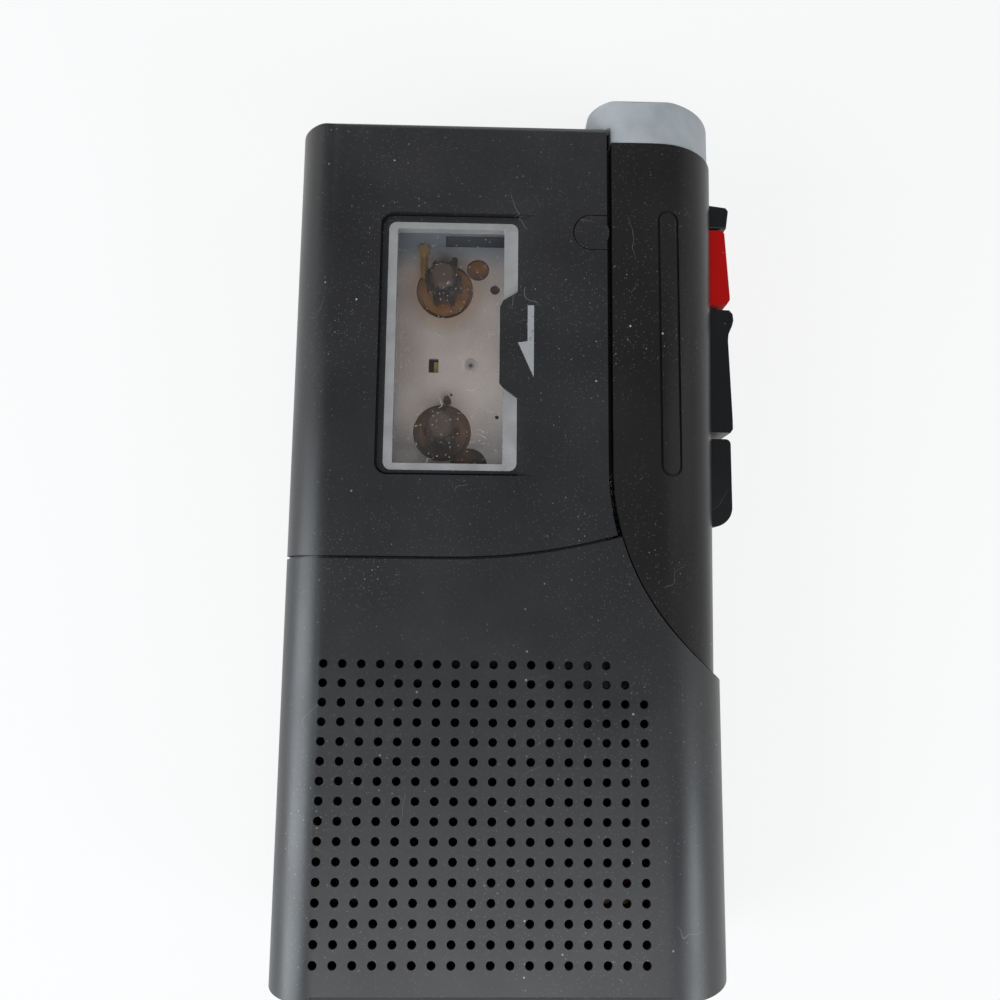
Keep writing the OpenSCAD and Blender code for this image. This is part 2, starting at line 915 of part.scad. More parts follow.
// Fixed rail that guides the key pins and carries the rocker's pivot
module key_rail() {
    color(steel)
        difference() {
            union() {
                box([rail_x - 0.8, play_y - 0.5, wall + seat], [rail_x, pause_y - 1, deck_z - 0.4]);
                for (z = [key_z - 1.4, key_z + key_h + gap])
                    box([rail_x - 0.8, rocker_pivot[1] - 1.5, z],
                        [lining_x - seat, rocker_pivot[1] + 1.5, z + 1.1]);
                box([rail_x - 0.8, rocker_pivot[1] - 1.5, deck_z - 1],
                    [rail_x, rocker_pivot[1] + 1.5, key_z + key_h + 1]);
            }
            for (y = [record_y + 3, record_y + 9.05, play_y + 3, play_y + play_l - 3])
                rod_x(rail_x - 2, rail_x + 1, y, key_z + 2.5, 0.9 + run);
            post(rocker_pivot, key_z - 3, key_z + key_h + 3, 0.7 + seat);
        }
}

// Leaf springs behind the push keys, drawn pressed flat against the rail
module key_springs() {
    color(steel)
        for (y = [record_y + 4.5, play_y + 4.6])
            box([rail_x + seat, y, key_z + 1.2], [rail_x + 0.25, y + 3, key_z + key_h - 3.4]);
}

module rocker_pin() {
    color(steel)
        post(rocker_pivot, key_z - 1.4, key_z + key_h + gap + 1.1, 0.7);
}

module deck_plate() {
    color(deck_grey)
        difference() {
            box([left_x + 3, seam_y + 2, deck_z - deck_t], [rail_x - 1.2, top_y - 3.2, deck_z]);
            post(supply_at, 0, front_z, 4.4);
            post(takeup_at, 0, front_z, 4.4);
            post(fly_at, 0, front_z, 2 + seat);
            post(idler_at, 0, front_z, 0.6 + seat);
            box([reel_x - 2.25, reel_mid_y - 1.85, 0], [reel_x - 0.75, reel_mid_y + 0.35, front_z]);
            post([reel_x + 4.2, reel_mid_y - 0.75], 0, front_z, 0.5 + seat);
            post([reel_x + 5.1, reel_mid_y + 14.75], 0, front_z, 1.75);
            post([reel_x + 7.8, reel_mid_y + 11.55], 0, front_z, 0.75);
            post([reel_x + 0.7, reel_mid_y - 6.3], 0, front_z, 0.42 + seat);
            feeler_slots();
            for (at = deck_screw_at)
                post(at, 0, front_z, 1);
            post(case_screw_at[3], 0, front_z, 0.9 + seat);
            box([case_screw_at[2][0] - 3 - gap, case_screw_at[2][1] - 3 - gap, 0], [right_x, top_y, front_z]);
            raised(0, front_z)
                front_area(-seam);
        }
}

// Slots and small holes of the deck beside the reels
module feeler_slots() {
    box([reel_x, reel_mid_y + 18.45, deck_z - 0.6 * deck_t], [reel_x + 11.5, reel_mid_y + 20.35, front_z]);
    box([reel_x + 1, supply_at[1], 0], [reel_x + 1.9, supply_at[1] + 5.2, front_z]);
    post([reel_x + 1.45, supply_at[1] + 5.2], 0, front_z, 0.45);
    post(takeup_at + [4.1, -5.1], 0, front_z, 2.8);
    post([reel_x + 1.3, reel_mid_y - 5.3], 0, front_z, 0.22);
    post([reel_x + 8.3, reel_mid_y - 8.7], 0, front_z, 0.3);
}

module deck_screws() {
    color(steel)
        for (at = deck_screw_at)
            difference() {
                union() {
                    post(at, split_z - 5.5, deck_z + 0.2, 0.9);
                    post(at, deck_z + seat, deck_z + 0.9, 1.8);
                }
                for (a = [0, 90])
                    translate([at[0], at[1], deck_z + 0.5])
                        rotate([0, 0, a])
                            translate([-1.1, -0.2, 0])
                                cube([2.2, 0.4, 1]);
            }
}

module deck_rivet() {
    color(steel) {
        post([reel_x + 4.2, reel_mid_y - 0.75], deck_z - deck_t, deck_z + 0.2, 0.5);
        post([reel_x + 4.2, reel_mid_y - 0.75], deck_z + seat, deck_z + 0.4, 0.9);
    }
}

module brass_lever() {
    lever_x = reel_x - 3.3;
    color(brass) {
        rod_y(lever_x, reel_mid_y + 13.2, reel_mid_y + 17.3, deck_z + 0.55, 0.5);
        post([lever_x, reel_mid_y + 17.3], deck_z + seat, deck_z + 1.4, 0.8);
        box([reel_x - 1.5, reel_mid_y - 2.3, deck_z - deck_t - 0.8],
            [reel_x + 0.1, reel_mid_y + 0.1, deck_z - deck_t - seat]);
    }
}

module locating_pin() {
    at = [reel_x + 0.7, reel_mid_y - 6.3];
    color(panel_black) {
        post(at, deck_z - deck_t, deck_z + 2, 0.42);
        post(at, deck_z + seat, deck_z + 0.3, 0.6);
    }
}

// Reel table below the deck with the ribbed spindle that carries a hub
module reel(at) {
    difference() {
        union() {
            post(at, table_z, table_z + table_t, reel_r);
            post(at, table_z + 1, table_z + table_t + 1, 3.6);
            post(at, table_z + 1, reel_top_z - 0.5, 2);
            translate([at[0], at[1], reel_top_z - 0.5])
                cylinder(h = 0.5, r1 = 2, r2 = 1.5);
            for (a = [0 : 60 : 300])
                translate([at[0], at[1], deck_z - 0.4])
                    rotate([0, 0, a])
                        translate([1, -0.35, 0])
                            cube([1.7, 0.7, reel_top_z - deck_z - 1]);
        }
        post(at, 0, reel_top_z - 2.4, 0.75 + run);
    }
}

module supply_reel() {
    color(amber)
        reel(supply_at);
}

module takeup_reel() {
    color(amber)
        reel(takeup_at);
}

module reel_pins() {
    color(steel)
        for (at = [supply_at, takeup_at])
            post(at, wall + 1.2, reel_top_z - 2.8, 0.75);
}

module flywheel() {
    color(brass)
        difference() {
            union() {
                post(fly_at, fly_z, fly_z + fly_t, fly_r);
                post(fly_at, fly_z + 1, table_z + table_t - 0.2, hub_r);
            }
            difference() {
                post(fly_at, fly_z + 0.8, fly_z + 2.2, fly_r + 1);
                post(fly_at, fly_z, fly_z + 3, fly_r - 0.6);
            }
            post(fly_at, 0, front_z, 0.75 + seat);
        }
}

module capstan() {
    color(steel)
        post(fly_at, wall + 0.8, deck_z + 7, 0.75);
}

module capstan_bearing() {
    color(brass)
        difference() {
            union() {
                post(fly_at, deck_z - deck_t, deck_z + 0.6, 2);
                post(fly_at, deck_z + seat, deck_z + 0.6, 2.6);
            }
            post(fly_at, 0, front_z, 0.75 + run);
        }
}

module idler_wheel() {
    color(rubber)
        difference() {
            post(idler_at, table_z + 0.2, table_z + table_t - 0.2, idler_r);
            post(idler_at, 0, front_z, 0.6 + run);
        }
}

module idler_pin() {
    color(steel) {
        post(idler_at, table_z - 0.6, deck_z, 0.6);
        post(idler_at, table_z - 0.6, table_z - 0.1, 1.2);
        post(idler_at, table_z + table_t, deck_z - deck_t - seat, 1.2);
    }
}

// Straight-sided loop around the flywheel and the motor pulley, grown by extra
module belt_plan(extra) {
    big = fly_r - 0.6 + extra;
    small = pulley_r + extra;
    span = norm(motor_at - fly_at);
    lean = asin((big - small) / span);
    turn = atan2(motor_at[1] - fly_at[1], motor_at[0] - fly_at[0]);
    steps = 24;
    big_arc = [for (i = [0 : steps]) big * heading(90 - lean + i * (180 + 2 * lean) / steps)];
    small_arc = [for (i = [0 : steps]) [span, 0] + small * heading(lean - 90 + i * (180 - 2 * lean) / steps)];
    translate(fly_at)
        rotate([0, 0, turn])
            polygon(concat(big_arc, small_arc));
}

// Unit vector at an angle
function heading(angle) = [cos(angle), sin(angle)];

module drive_belt() {
    color(rubber)
        raised(fly_z + 1.1, fly_z + 1.9)
            difference() {
                belt_plan(gap + 0.7);
                belt_plan(gap);
            }
}

module motor_can() {
    color(steel)
        difference() {
            union() {
                post(motor_at, fly_z + 3, split_z + 3, motor_r);
                post(motor_at, fly_z + 2.6, fly_z + 3.5, 3);
            }
            post(motor_at, 0, split_z, 0.75 + run);
        }
    color(steel)
        for (s = [-1, 1])
            box([motor_at[0] + s * (motor_r - 2) - 1, motor_at[1] - 1, wall + seat],
                [motor_at[0] + s * (motor_r - 2) + 1, motor_at[1] + 1, fly_z + 3.2]);
}

module motor_pulley() {
    color(brass) {
        post(motor_at, wall + 0.6, split_z - 1, 0.75);
        post(motor_at, fly_z + 0.3, fly_z + 2.3, pulley_r);
        post(motor_at, fly_z + 0.2, fly_z + 0.8, pulley_r + 0.9);
    }
}

module head_plate() {
    color(steel)
        difference() {
            box([10.4, play_y + 1, plate_z], [plate_right, reel_mid_y + 13, plate_z + plate_t]);
            box([9, reel_mid_y - 13.5, 0], [12.6, reel_mid_y - 6, front_z]);
            box([16.5, reel_mid_y - 8, 0], [19, reel_mid_y + 9, front_z]);
            post(pinch_at + [0, 0], 0, front_z, 0.7 + seat);
        }
}

module record_head() {
    color(steel)
        difference() {
            raised(plate_z + plate_t, plate_z + plate_t + 6)
                soft_rect(9.6, 14.2, reel_mid_y - 3.5, reel_mid_y + 3.5, [2, 0.3, 0.3, 2]);
            for (z = [2.2, 3.8])
                box([9, reel_mid_y - 0.15, plate_z + plate_t + z],
                    [9.9, reel_mid_y + 0.15, plate_z + plate_t + z + 1]);
        }
}

module erase_head() {
    color(panel_black)
        raised(plate_z + plate_t, plate_z + plate_t + 5)
            soft_rect(10.6, 13.6, reel_mid_y + 7.5, reel_mid_y + 11, [1, 0.3, 0.3, 1]);
}

module pinch_arm() {
    color(steel) {
        post(pinch_at, plate_z, deck_z + 6.4, 0.7);
        box([pinch_at[0] - 1, pinch_at[1] - 1, deck_z + 6.4],
            [pinch_at[0] + 6, pinch_at[1] + 1, deck_z + 7.1]);
        box([pinch_at[0] + 5, pinch_at[1] - 1, plate_z + plate_t],
            [pinch_at[0] + 6, pinch_at[1] + 1, deck_z + 7]);
    }
}

module pinch_roller() {
    color(rubber)
        difference() {
            post(pinch_at, plate_z + plate_t + gap, deck_z + 6.4 - gap, 2.8);
            post(pinch_at, 0, front_z, 0.7 + run);
        }
}

// Round part of the speaker: a profile turned about the grille's middle, heights below the skin
module turned_speaker() {
    translate([grille_x, grille_y, skin_z])
        rotate_extrude()
            children();
}

module speaker_frame() {
    color(steel)
        turned_speaker()
            polygon([[7.6, -4.2], [8.6, -4.2], [15.5, -1.5], [18, -1.5], [18, -0.5], [14.6, -0.5], [7.6, -3.4]]);
}

module speaker_cone() {
    color(rubber)
        turned_speaker()
            polygon([[0, -1.8], [0, -1.5], [1.8, -1.7], [3.2, -2.7], [13.4, -0.36], [15.5, -0.36], [15.5, -0.46],
                [14.4, -0.46], [3.2, -3.1], [1.6, -2]]);
}

module speaker_magnet() {
    color(steel) {
        post([grille_x, grille_y], skin_z - 5.9, skin_z - 4.2 - seat, 7.6);
        post([grille_x, grille_y], skin_z - 4.5, skin_z - 3.6, 7);
    }
}

module grille_cloth() {
    color(rubber)
        raised(skin_z - 0.3, skin_z - seat)
            translate([grille_x, grille_y])
                circle(18.2);
}

module circuit_board() {
    color([0.1, 0.25, 0.12])
        difference() {
            box([board_x[0], board_y[0], board_z], [board_x[1], board_y[1], board_z + 1.2]);
            for (at = board_pegs)
                post(at, 0, front_z, 0.7 + seat);
        }
}

// Chips as flat blocks and capacitors as small drums, set on the board
module board_parts() {
    top = board_z + 1.2;
    mid_y = (board_y[0] + board_y[1]) / 2;
    color(panel_black) {
        for (at = [[-15, mid_y], [-4, mid_y - 3]])
            box([at[0] - 4.5, at[1] - 2.2, top], [at[0] + 4.5, at[1] + 2.2, top + 1.8]);
        for (at = [[left_x + 8.5, mid_y + 1], [-21, mid_y - 4], [-5, mid_y + 3.5]])
            post(at, top, top + 5, 2);
    }
}

module volume_dial() {
    notches = 36;
    color(case_black)
        difference() {
            post(dial_at, dial_z, dial_z + dial_t, dial_r);
            post(dial_at, 0, front_z, 1 + run);
            for (i = [0 : notches - 1])
                post(dial_at + (dial_r + 0.1) * heading(i * 360 / notches), 0, front_z, 0.3);
        }
}

module volume_control() {
    color(steel)
        post(dial_at, dial_z + dial_t + 0.6 + seat, deck_z - deck_t - seat, 3.9);
}

// Socket for a round plug, with its collar in the top wall
module socket(x) {
    difference() {
        union() {
            rod_y(x, top_y - wall - 0.5, top_y, socket_z, 2.6);
            box([x - 3.4, top_y - wall - socket_l, socket_z - 3.2],
                [x + 3.4, top_y - wall - seat, socket_z + 3.2]);
        }
        rod_y(x, top_y - wall - socket_l + 1, top_y + 1, socket_z, socket_r);
    }
}

module ear_socket() {
    color(panel_black)
        socket(ear_x);
}

module mic_socket() {
    color(panel_black)
        socket(mic_x);
}

module battery_cover() {
    color(case_black)
        difference() {
            intersection() {
                body_form();
                box([-cover_half_w, base_y - 1, -1], [cover_half_w, bay_y - 0.1, cover_t]);
            }
            for (i = [0 : 5])
                box([-8, bay_y - 5 - i * 1.6, -1], [8, bay_y - 4.2 - i * 1.6, 0.4]);
        }
}

// One dry cell along X with its button towards side s
module cell(y, s) {
    rod_x(-cell_l / 2 + (s < 0 ? 1.4 : 0), cell_l / 2 - (s > 0 ? 1.4 : 0), y, cell_z, cell_r);
    rod_x(s > 0 ? cell_l / 2 - 2 : -cell_l / 2, s > 0 ? cell_l / 2 : -cell_l / 2 + 2, y, cell_z, 2.7);
}

module battery_cells() {
    color([0.1, 0.1, 0.12]) {
        cell(cell_y[0], 1);
        cell(cell_y[1], -1);
    }
}

// Contact spring: wire rings that grow towards the plate, from the cell's end at x0 to the plate at x1
module contact_spring(x0, x1, y) {
    rings = 4;
    for (i = [0 : rings - 1])
        translate([x0 + (x1 - x0) * (i + 0.5) / rings, y, cell_z])
            rotate([0, 90, 0])
                rotate_extrude()
                    translate([2.6 + i * 0.35, 0])
                        circle(abs(x1 - x0) / rings * 0.62);
}

// Plate of a cell contact on side s
module contact_plate(s, y0, y1) {
    box([s > 0 ? contact_x - 0.4 : -contact_x, y0, cover_t + 3],
        [s > 0 ? contact_x : 0.4 - contact_x, y1, split_z - 1]);
}

module cell_link() {
    color(steel) {
        contact_plate(-1, cell_y[0] - 6, cell_y[1] + 6);
        contact_spring(-cell_l / 2 - 0.3, -contact_x + 0.3, cell_y[0]);
        rod_x(-contact_x + 0.2, -cell_l / 2 - 0.1, cell_y[1], cell_z, 2);
    }
}

module cell_plus() {
    color(steel) {
        contact_plate(1, cell_y[0] - 6, cell_y[0] + 6);
        rod_x(cell_l / 2 + 0.1, contact_x - 0.2, cell_y[0], cell_z, 2);
    }
}

module cell_minus() {
    color(steel) {
        contact_plate(1, cell_y[1] - 6, cell_y[1] + 6);
        contact_spring(cell_l / 2 + 0.3, contact_x - 0.3, cell_y[1]);
    }
}

module case_screws() {
    color(steel)
        for (at = case_screw_at)
            difference() {
                union() {
                    post(at, 0.7, 2.35, 2.1);
                    post(at, 2, split_z + 1.6, 0.9);
                }
                for (a = [0, 90])
                    translate([at[0], at[1], 0.5])
                        rotate([0, 0, a])
                            translate([-1.3, -0.25, 0])
                                cube([2.6, 0.5, 1]);
            }
}

rear_case();
front_case();
side_panel();
mic_cap();
mic_boot();
mic_capsule();
cassette_door();
door_pad();
window_frame();
window_pane();
cassette_holder();
hinge_pin();
pause_slider();
record_key();
wind_rocker();
play_key();
key_rail();
key_springs();
rocker_pin();
deck_plate();
deck_screws();
deck_rivet();
brass_lever();
locating_pin();
supply_reel();
takeup_reel();
reel_pins();
flywheel();
capstan();
capstan_bearing();
idler_wheel();
idler_pin();
drive_belt();
motor_can();
motor_pulley();
head_plate();
record_head();
erase_head();
pinch_arm();
pinch_roller();
speaker_frame();
speaker_cone();
speaker_magnet();
grille_cloth();
circuit_board();
board_parts();
volume_dial();
volume_control();
ear_socket();
mic_socket();
battery_cover();
battery_cells();
cell_link();
cell_plus();
cell_minus();
case_screws();
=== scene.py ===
"""Finish of a pocket recorder: materials for its pieces, the paint in the arrow, light, floor and camera."""

import math

import bpy
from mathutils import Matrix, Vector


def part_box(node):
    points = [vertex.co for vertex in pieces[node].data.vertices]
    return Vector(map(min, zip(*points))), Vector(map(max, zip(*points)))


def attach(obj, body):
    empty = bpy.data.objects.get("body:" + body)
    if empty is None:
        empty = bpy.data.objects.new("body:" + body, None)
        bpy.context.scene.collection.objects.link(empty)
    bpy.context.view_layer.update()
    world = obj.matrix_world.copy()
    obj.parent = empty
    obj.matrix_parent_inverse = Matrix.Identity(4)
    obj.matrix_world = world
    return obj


MM = 0.001
# Most values of a cloudy noise lie in this part of its range.
CLOUDS = (0.3, 0.7)

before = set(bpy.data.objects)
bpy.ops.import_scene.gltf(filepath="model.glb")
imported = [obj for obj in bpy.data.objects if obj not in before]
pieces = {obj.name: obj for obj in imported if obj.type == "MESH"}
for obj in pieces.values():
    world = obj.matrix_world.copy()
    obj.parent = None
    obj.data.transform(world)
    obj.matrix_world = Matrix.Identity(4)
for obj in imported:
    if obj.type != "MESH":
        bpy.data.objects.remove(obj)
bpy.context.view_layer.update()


def linear(red, green, blue):
    """Scene-linear colour of a screen colour given from 0 to 255."""
    def decode(value):
        value /= 255
        return value / 12.92 if value <= 0.04045 else ((value + 0.055) / 1.055) ** 2.4
    return (decode(red), decode(green), decode(blue), 1.0)


def shaded(colour, factor):
    """The same colour, lighter or darker by a factor."""
    return tuple(part * factor for part in colour[:3]) + (1.0,)


def middle(box):
    """Middle of a box in plan, from its lowest and highest corner."""
    low, high = box
    return ((low[0] + high[0]) / 2, (low[1] + high[1]) / 2)


class Finish:
    """A material around one Principled shader, with short ways to add textures to it."""

    def __init__(self, name, **settings):
        self.material = bpy.data.materials.new(name)
        self.material.use_nodes = True
        self.nodes = self.material.node_tree.nodes
        self.links = self.material.node_tree.links
        self.shader = self.nodes["Principled BSDF"]
        for socket, value in settings.items():
            self.shader.inputs[socket.replace("_", " ")].default_value = value
        # The relief added last, which the next one builds on.
        self.normal = None

    def add(self, kind, **settings):
        """A new node with its plain settings."""
        node = self.nodes.new("ShaderNode" + kind)
        for key, value in settings.items():
            setattr(node, key, value)
        return node

    def feed(self, socket, value):
        """Links a node's output to a socket of the shader."""
        self.links.new(value, self.shader.inputs[socket])

    def place(self, stretch=(1, 1, 1), turn=0):
        """Position on the piece in metres, stretched, and turned about Z by an angle in degrees."""
        spot = self.add("TexCoord")
        mapping = self.add("Mapping")
        mapping.inputs["Scale"].default_value = stretch
        mapping.inputs["Rotation"].default_value = (0, 0, math.radians(turn))
        self.links.new(spot.outputs["Object"], mapping.inputs["Vector"])
        return mapping.outputs["Vector"]

    def along(self, axis):
        """Position on the piece along one axis, in metres."""
        parts = self.add("SeparateXYZ")
        self.links.new(self.place(), parts.inputs["Vector"])
        return parts.outputs[axis]

    def span(self, value, low, high, to_low=0.0, to_high=1.0):
        """A value that runs from to_low to to_high while the given one runs from low to high."""
        remap = self.add("MapRange")
        remap.inputs["From Min"].default_value = low
        remap.inputs["From Max"].default_value = high
        remap.inputs["To Min"].default_value = to_low
        remap.inputs["To Max"].default_value = to_high
        self.links.new(value, remap.inputs["Value"])
        return remap.outputs["Result"]

    def combine(self, operation, first, second):
        """Arithmetic on two values, the second of which may be a number."""
        node = self.add("Math", operation=operation)
        self.links.new(first, node.inputs[0])
        if isinstance(second, (int, float)):
            node.inputs[1].default_value = second
        else:
            self.links.new(second, node.inputs[1])
        return node.outputs["Value"]

    def fade(self, mask, share):
        """A mask at a share of its strength; the share is a number or another mask."""
        return self.combine("MULTIPLY", mask, share)

    def either(self, first, *others):
        """The strongest of several masks at each point."""
        joined = first
        for mask in others:
            joined = self.combine("MAXIMUM", joined, mask)
        return joined

    def tint(self, mask, under, over):
        """Colour that goes from under to over with a mask; each is a colour or a node's output."""
        mix = self.add("Mix", data_type="RGBA")
        self.links.new(mask, mix.inputs["Factor"])
        for name, colour in (("A", under), ("B", over)):
            socket = [s for s in mix.inputs if s.name == name and s.type == "RGBA"][0]
            if isinstance(colour, tuple):
                socket.default_value = colour
            else:
                self.links.new(colour, socket)
        return [s for s in mix.outputs if s.type == "RGBA"][0]

    def noise(self, scale, detail=3, stretch=(1, 1, 1), turn=0):
        """Cloudy noise from 0 to 1."""
        texture = self.add("TexNoise")
        texture.inputs["Scale"].default_value = scale
        texture.inputs["Detail"].default_value = detail
        self.links.new(self.place(stretch, turn), texture.inputs["Vector"])
        return texture.outputs["Fac"]

    def mottle(self, clouds, first, second):
        """Colour that drifts from one shade to another with a cloudy noise."""
        return self.tint(self.span(clouds, *CLOUDS), first, second)

    def roughen(self, clouds, smooth, rough):
        """Roughness that drifts from one value to another with a cloudy noise."""
        self.feed("Roughness", self.span(clouds, *CLOUDS, smooth, rough))

    def specks(self, scale, size, share):
        """Scattered dots: scale cells to the metre, dot radius in cells, share of the cells with a dot."""
        cells = self.add("TexVoronoi")
        cells.inputs["Scale"].default_value = scale
        self.links.new(self.place(), cells.inputs["Vector"])
        dot = self.span(cells.outputs["Distance"], size, size * 0.5)
        lot = self.add("SeparateColor")
        self.links.new(cells.outputs["Color"], lot.inputs["Color"])
        chosen = self.combine("LESS_THAN", lot.outputs["Red"], share)
        return self.fade(dot, chosen)

    def near(self, spot, inner, outer):
        """1 within an inner distance of a spot in plan, falling to 0 at an outer distance, in metres."""
        away = self.add("VectorMath", operation="DISTANCE")
        away.inputs[1].default_value = (spot[0], spot[1], 0)
        self.links.new(self.place(stretch=(1, 1, 0)), away.inputs[0])
        return self.span(away.outputs["Value"], outer, inner)

    def borders(self, scale, spot):
        """Distance to the nearest border of scattered cells, in cells, at a spot given by a node."""
        cells = self.add("TexVoronoi", feature="DISTANCE_TO_EDGE")
        cells.inputs["Scale"].default_value = scale
        self.links.new(spot, cells.inputs["Vector"])
        return cells.outputs["Distance"]

    def hairlines(self, scale, width, turn=0):
        """Fine bent scratches: the borders of large wavy cells, kept only in short runs."""
        sway = 0.4 / scale
        wave = self.add("TexNoise")
        wave.inputs["Scale"].default_value = scale * 3
        self.links.new(self.place(turn=turn), wave.inputs["Vector"])
        bent = self.add("VectorMath", operation="MULTIPLY_ADD")
        bent.inputs[1].default_value = (sway, sway, sway)
        self.links.new(wave.outputs["Color"], bent.inputs[0])
        self.links.new(self.place(turn=turn), bent.inputs[2])
        line = self.span(self.borders(scale, bent.outputs["Vector"]), width, width * 0.3)
        runs = self.span(self.noise(scale * 2.3, detail=1, turn=turn), 0.65, 0.68)
        return self.fade(line, runs)

    def bump(self, height, depth, strength):
        """Relief of a depth in metres, on top of any relief added before."""
        node = self.add("Bump")
        node.inputs["Distance"].default_value = depth
        node.inputs["Strength"].default_value = strength
        self.links.new(height, node.inputs["Height"])
        if self.normal:
            self.links.new(self.normal, node.inputs["Normal"])
        self.normal = node.outputs["Normal"]
        self.feed("Normal", self.normal)


def moulded(name, colour, dusty, roughness, dust=0.25, relief=0.012, specular=0.5):
    """Moulded plastic: fine grain, handled patches, scratches and specks of dust in a second colour."""
    finish = Finish(name, Specular_IOR_Level=specular)
    patches = finish.noise(scale=70, detail=4)
    shade = finish.mottle(patches, colour, shaded(colour, 1.25))
    long_lines = finish.hairlines(scale=30, width=0.0012)
    short_lines = finish.hairlines(scale=52, width=0.0016, turn=70)
    marks = finish.either(long_lines, short_lines)
    shade = finish.tint(finish.fade(marks, 0.18), shade, dusty)
    film = finish.fade(finish.specks(scale=2600, size=0.3, share=dust * 2), 0.10)
    fine = finish.fade(finish.specks(scale=1150, size=0.13, share=dust), 0.38)
    coarse = finish.fade(finish.specks(scale=420, size=0.075, share=dust * 0.7), 0.85)
    thick = finish.span(finish.noise(scale=45, detail=2), 0.38, 0.65, 0.25, 1.0)
    dirt = finish.fade(finish.either(film, fine, coarse), thick)
    finish.feed("Base Color", finish.tint(dirt, shade, dusty))
    finish.feed("Roughness", finish.span(patches, 0.25, 0.75, roughness - 0.05, roughness + 0.07))
    finish.bump(finish.noise(scale=7000, detail=2), depth=relief * MM, strength=0.6)
    finish.bump(marks, depth=0.002 * MM, strength=0.5)
    return finish


PALE_DUST = linear(190, 188, 182)


def case_plastic():
    """Black plastic of the case and the door."""
    return moulded("case_plastic", linear(32, 31, 32), PALE_DUST, roughness=0.37)


def panel_plastic():
    """Smoother black plastic of the side panel."""
    return moulded("panel_plastic", linear(32, 30, 30), PALE_DUST, roughness=0.30, dust=0.22, relief=0.007,
                   specular=0.16)


def key_plastic():
    """Deep black plastic of the keys."""
    return moulded("key_plastic", linear(17, 17, 19), linear(150, 148, 144), roughness=0.36, dust=0.12,
                   specular=0.35)


def inner_plastic():
    """Dull black plastic of small pieces inside."""
    return moulded("inner_plastic", linear(24, 23, 23), linear(110, 106, 100), roughness=0.5, dust=0.3)


def red_plastic():
    """Red plastic of the record key."""
    return moulded("red_plastic", linear(166, 2, 1), linear(205, 120, 105), roughness=0.42, dust=0.05,
                   relief=0.004, specular=0.2)


def cap_plastic():
    """Grey paint with a mottled, slightly pearly surface."""
    finish = Finish("cap_plastic")
    clouds = finish.noise(scale=260, detail=5)
    shade = finish.mottle(clouds, linear(148, 153, 155), linear(166, 170, 172))
    wear = finish.fade(finish.specks(scale=420, size=0.08, share=0.3), 0.5)
    finish.feed("Base Color", finish.tint(wear, shade, linear(92, 94, 98)))
    finish.roughen(clouds, 0.46, 0.6)
    finish.bump(finish.noise(scale=2600), depth=0.01 * MM, strength=0.5)
    return finish


def frame_plastic():
    """Pale plastic around the pane."""
    finish = Finish("frame_plastic")
    clouds = finish.noise(scale=300, detail=4)
    shade = finish.mottle(clouds, linear(130, 128, 128), linear(148, 146, 146))
    dirt = finish.fade(finish.specks(scale=800, size=0.1, share=0.15), 0.6)
    finish.feed("Base Color", finish.tint(dirt, shade, linear(90, 84, 76)))
    finish.roughen(clouds, 0.3, 0.42)
    finish.bump(finish.noise(scale=5000, detail=2), depth=0.005 * MM, strength=0.4)
    return finish


def window_plastic():
    """Clear pane with a thin haze, dust and scratches."""
    finish = Finish("window_plastic", IOR=1.49)
    haze = finish.noise(scale=120, detail=4)
    finish.feed("Base Color", finish.tint(haze, linear(196, 190, 188), linear(222, 220, 222)))
    fine = finish.specks(scale=1700, size=0.17, share=0.4)
    coarse = finish.specks(scale=480, size=0.06, share=0.3)
    dirt = finish.either(fine, coarse, finish.hairlines(scale=90, width=0.003, turn=64))
    cover = finish.span(haze, *CLOUDS, 0.012, 0.03)
    finish.feed("Alpha", finish.combine("ADD", cover, finish.fade(dirt, 0.5)))
    finish.feed("Roughness", finish.span(dirt, 0, 1, 0.06, 0.5))
    finish.bump(haze, depth=0.004 * MM, strength=0.3)
    return finish


def deck_metal():
    """Satin sheet metal, warm grey, with painted light and shade: a painted amber reflection around the
    reels, painted light low down, painted bluish shade at the top and painted shade in sunk places.
    """
    finish = Finish("deck_metal", Metallic=0.08)
    clouds = finish.noise(scale=130, detail=5)
    shade = finish.mottle(clouds, linear(212, 197, 188), linear(230, 217, 209))
    for reel in ("supply_reel", "takeup_reel"):
        # Painted reflection: a brown ring around each reel hole stands in for the amber of the reel tables
        # reflected onto the deck.
        painted_amber_glow = finish.near(middle(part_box(reel)), inner=4.4 * MM, outer=7.5 * MM)
        shade = finish.tint(finish.fade(painted_amber_glow, 0.65), shade, linear(190, 150, 112))
    window_low, window_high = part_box("window_frame")
    length = finish.along("Y")
    # Painted light: the deck is made lighter towards the low end of the window, where the window's lower
    # wall shades it.
    painted_light_low = finish.span(length, window_low[1] + 17.9 * MM, window_low[1] + 3.9 * MM)
    shade = finish.tint(painted_light_low, shade, linear(250, 241, 236))
    # Painted shade: the deck turns bluish and darker towards the top of the window, under the door's top
    # edge.
    bluish = finish.span(length, window_high[1] - 3.3 * MM, window_high[1] + 0.7 * MM)
    shade = finish.tint(bluish, shade, linear(146, 155, 166))
    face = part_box("deck_plate")[1][2]
    # Painted shade: below its face the deck is painted dark, in the slot pocket and on the walls of its
    # holes.
    sunk = finish.span(finish.along("Z"), face - 0.2 * MM, face - 0.4 * MM)
    shade = finish.tint(sunk, shade, linear(64, 68, 74))
    fine = finish.specks(scale=900, size=0.14, share=0.3)
    coarse = finish.specks(scale=300, size=0.06, share=0.4)
    dust = finish.fade(finish.either(fine, coarse), 0.7)
    finish.feed("Base Color", finish.tint(dust, shade, linear(246, 242, 236)))
    finish.roughen(clouds, 0.42, 0.56)
    finish.bump(finish.noise(scale=4000), depth=0.006 * MM, strength=0.5)
    return finish


